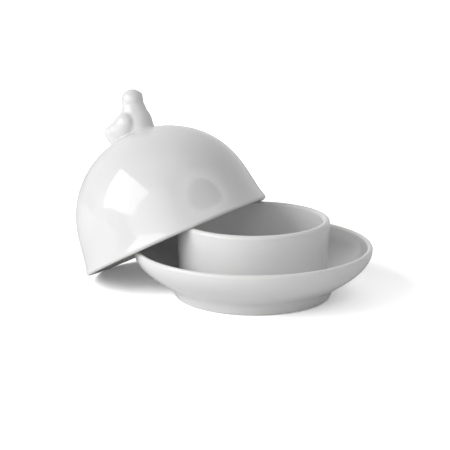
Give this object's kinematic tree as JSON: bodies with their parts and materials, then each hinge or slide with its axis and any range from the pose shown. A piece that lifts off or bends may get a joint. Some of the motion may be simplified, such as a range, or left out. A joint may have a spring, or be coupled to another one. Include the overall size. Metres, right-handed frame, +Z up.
{
  "type": "butter dish",
  "caption": "Round footed saucer with a butter cup standing in it, and a bell-shaped cover with a bird knob that leans on the cup and lifts off.",
  "frame": {"origin": "on the table, at the middle of the saucer's foot ring, where the dish stands", "axes": "+Z up out of the cup; the dish is round about Z; the front, from which the cover is seen leaning to the left, is -Y, and +X is to the right"},
  "size_m": [0.1822, 0.1613, 0.1173],
  "materials": {
    "glazed_porcelain": "clear glossy glaze over white porcelain",
    "bare_porcelain": "fine matt biscuit where the foot and the cover's rim were wiped clean of glaze"
  },
  "bodies": {
    "dish": {"saucer": "glazed_porcelain", "butter_cup": "glazed_porcelain"},
    "cover": {"cover_dome": "glazed_porcelain", "bird_knob": "glazed_porcelain"}
  },
  "joints": [
    {"name": "cover_lift", "type": "slide", "parent": "dish", "child": "cover", "axis": [0, 0, 1], "range_m": [0, 0.1]}
  ]
}
